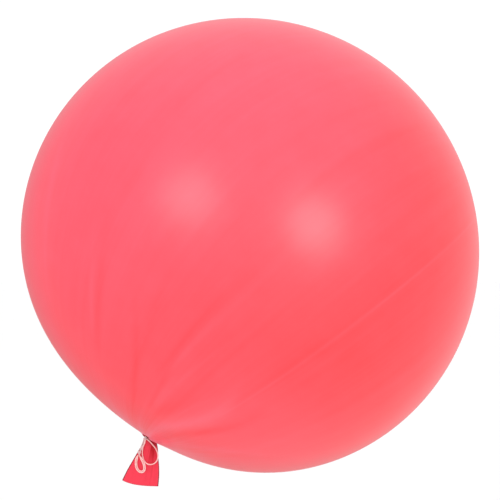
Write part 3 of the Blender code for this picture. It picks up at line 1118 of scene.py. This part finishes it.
def neckFold(share, below, front):
    # Height of the folds that fan out from the tie, at a share of the width, on front or back
    waves = neck["frontWaves"] if front else neck["backWaves"]
    height = sum(size * math.cos(2 * math.pi * (count * share + start)) for size, count, start in waves)
    if front:
        panel = math.exp(-0.5 * ((share - neck["panelAt"]) / neck["panelWide"]) ** 2)
        bulge = math.exp(-0.5 * ((share - neck["bulgeAt"]) / neck["bulgeWide"]) ** 2)
        fading = max(neck["panelLeast"], 1 - max(0, below) / neck["panelReach"])
        height += neck["bulgeHeight"] * bulge - neck["panelDepth"] * panel * fading
    return height


def signedPower(value, power):
    return math.copysign(abs(value) ** power, value)


def addNeck():
    lean = math.radians(neck["lean"])
    right = Vector((math.cos(lean), 0, -math.sin(lean)))
    down = Vector((-math.sin(lean), 0, -math.cos(lean)))
    bm = bmesh.new()
    foldLayer = bm.verts.layers.float.new("foldDepth")
    edgeLayer = bm.verts.layers.float.new("nearEdge")
    tieLayer = bm.verts.layers.float.new("nearTie")
    loops = []
    count = neck["aroundPoints"]
    for below, left, rightEdge, half, fold in smoothRows(neckRows, neck["rowsPerSpan"]):
        loop = []
        middle, reach = (left + rightEdge) / 2, (rightEdge - left) / 2
        fallen = max(0, below - neck["mouthFrom"]) / (neck["mouthAt"] - neck["mouthFrom"])
        for i in range(count):
            # Points run evenly over the front and back, and close round the two edges
            angle = 2 * math.pi * i / count
            across = signedPower(math.cos(angle), neck["sidePower"])
            side = signedPower(math.sin(angle), neck["flatPower"])
            share = (across + 1) / 2
            front = side > 0
            wave = neckFold(share, below, front) * fold * (1 - abs(across) ** neck["foldPower"])
            bow = neck["mouthBow"] * math.sin(math.pi * share ** neck["bowPower"])
            drop = (bow + neck["mouthTilt"] * share) * fallen
            depth = side * (half - 0.5 * fold) + (wave if front else -wave)
            point = hinge + right * ((middle + reach * across) / 1000) + down * ((below + drop) / 1000)
            point.y = neck["midDepth"] - depth / 1000
            vert = bm.verts.new(point)
            # Painted shade in the fold valleys, by their depth
            vert[foldLayer] = min(1, max(0, -wave / neck["deepFold"]))
            # Painted edge shade along both sides and the mouth, partly a double layer of latex
            sideEdge = (abs(across) - neck["edgeFrom"]) / neck["edgeWide"]
            rim = neck["rimShade"] * (below - neck["rimFrom"])
            vert[edgeLayer] = min(1, max(sideEdge, rim, 0))
            # Painted shade near the tie, growing towards the right edge
            vert[tieLayer] = neck["tieShade"] * min(1, max(0, 1 - below / neck["tieReach"])) * share
            loop.append(vert)
        loops.append(loop)
    for upper, lower in zip(loops, loops[1:]):
        for i in range(count):
            j = (i + 1) % count
            bm.faces.new((upper[i], upper[j], lower[j], lower[i]))
    bmesh.ops.recalc_face_normals(bm, faces=bm.faces)
    mesh = bpy.data.meshes.new("slackNeck")
    bm.to_mesh(mesh)
    bm.free()
    mesh.shade_smooth()
    mesh.materials.append(slackLatexMaterial(neck))
    sleeve = bpy.data.objects.new("slackNeck", mesh)
    bpy.context.scene.collection.objects.link(sleeve)
    wall = sleeve.modifiers.new("wall", "SOLIDIFY")
    wall.thickness = neck["wall"]
    wall.offset = -1
    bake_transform(sleeve)
    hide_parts("neck_sleeve")


addNeck()
print("neck hung")


# The gathered latex inside the tie keeps its CAD shape
gather = frame["nodes"]["throat_gather"]
gather.data.materials.clear()
gather.data.materials.append(bpy.data.materials["slackLatex"])


# Floor, lights and surroundings

studio = {
    "floorAt": -0.86,
    "floorReach": 40.0,
    "floorSides": 96,
    "floorWhites": ("#FAFAFA", "#FDFDFD"),
    "floorGrain": 1 / 3,
    "surround": 1.06,
    "brightSide": (0.44, 0.0, 0.23),
    "dimMirror": 0.40,
    "fullMirror": 0.80,
    "mirrorRange": (-0.25, 0.10),
    "keyLight": {
        "at": (1.240, -2.263, 0.428),
        "aim": (0.112, -0.440, 0.039),
        "size": 1.08,
        "power": 10.4,
    },
    "fillLight": {
        "at": (-1.115, -2.205, 0.913),
        "aim": (-0.102, -0.437, 0.084),
        "size": 1.12,
        "power": 7.9,
    },
}


def addFloor():
    # Painted board, matt and almost white, with the faintest unevenness
    material, tree, shader = shaderFor("paleFloor", {"Roughness": 0.9})
    place = addNode(tree, "ShaderNodeTexCoord").outputs["Object"]
    grain = addNode(
        tree, "ShaderNodeTexNoise", links={"Vector": place, "Scale": 1 / studio["floorGrain"]}
    )
    greyer, whiter = [linearColour(white) for white in studio["floorWhites"]]
    colour = addNode(tree, "ShaderNodeMix", ofColours, {0: grain, 6: greyer, 7: whiter})
    tree.links.new(colour.outputs[2], shader.inputs["Base Color"])
    bm = bmesh.new()
    bmesh.ops.create_circle(
        bm, cap_ends=True, segments=studio["floorSides"], radius=studio["floorReach"]
    )
    bmesh.ops.translate(bm, verts=bm.verts, vec=(0, 0, studio["floorAt"]))
    mesh = bpy.data.meshes.new("floor")
    bm.to_mesh(mesh)
    bm.free()
    mesh.materials.append(material)
    floor = bpy.data.objects.new("floor", mesh)
    bpy.context.scene.collection.objects.link(floor)
    floor.visible_glossy = False  # the surround alone is mirrored


def addLight(name, plan):
    lamp = bpy.data.lights.new(name, "AREA")
    lamp.shape = "DISK"
    lamp.size = plan["size"]
    lamp.energy = plan["power"]
    light = bpy.data.objects.new(name, lamp)
    light.location = plan["at"]
    light.rotation_euler = (light.location - Vector(plan["aim"])).to_track_quat("Z", "Y").to_euler()
    bpy.context.scene.collection.objects.link(light)


def addSurround():
    # White all round; what the skin mirrors is dimmer at the left and below
    world = bpy.data.worlds.new("white room")
    world.use_nodes = True
    tree = world.node_tree
    background = tree.nodes["Background"]
    background.inputs["Color"].default_value = (1, 1, 1, 1)
    towards = addNode(tree, "ShaderNodeTexCoord").outputs["Generated"]
    lit = addNode(
        tree, "ShaderNodeVectorMath", "DOT_PRODUCT", {0: towards, 1: studio["brightSide"]}
    ).outputs["Value"]
    mirrored = addNode(
        tree,
        "ShaderNodeMapRange",
        links={
            "Value": lit,
            "From Min": studio["mirrorRange"][0],
            "From Max": studio["mirrorRange"][1],
            "To Min": studio["dimMirror"],
            "To Max": studio["fullMirror"],
        },
    )
    path = addNode(tree, "ShaderNodeLightPath")
    strength = addNode(
        tree,
        "ShaderNodeMix",
        {"data_type": "FLOAT"},
        {0: path.outputs["Is Glossy Ray"], 2: studio["surround"], 3: mirrored},
    )
    tree.links.new(strength.outputs[0], background.inputs["Strength"])
    bpy.context.scene.world = world
    bpy.context.scene.view_settings.view_transform = "Standard"


addFloor()
addLight("keyLight", studio["keyLight"])
addLight("fillLight", studio["fillLight"])
addSurround()
print("studio lit")
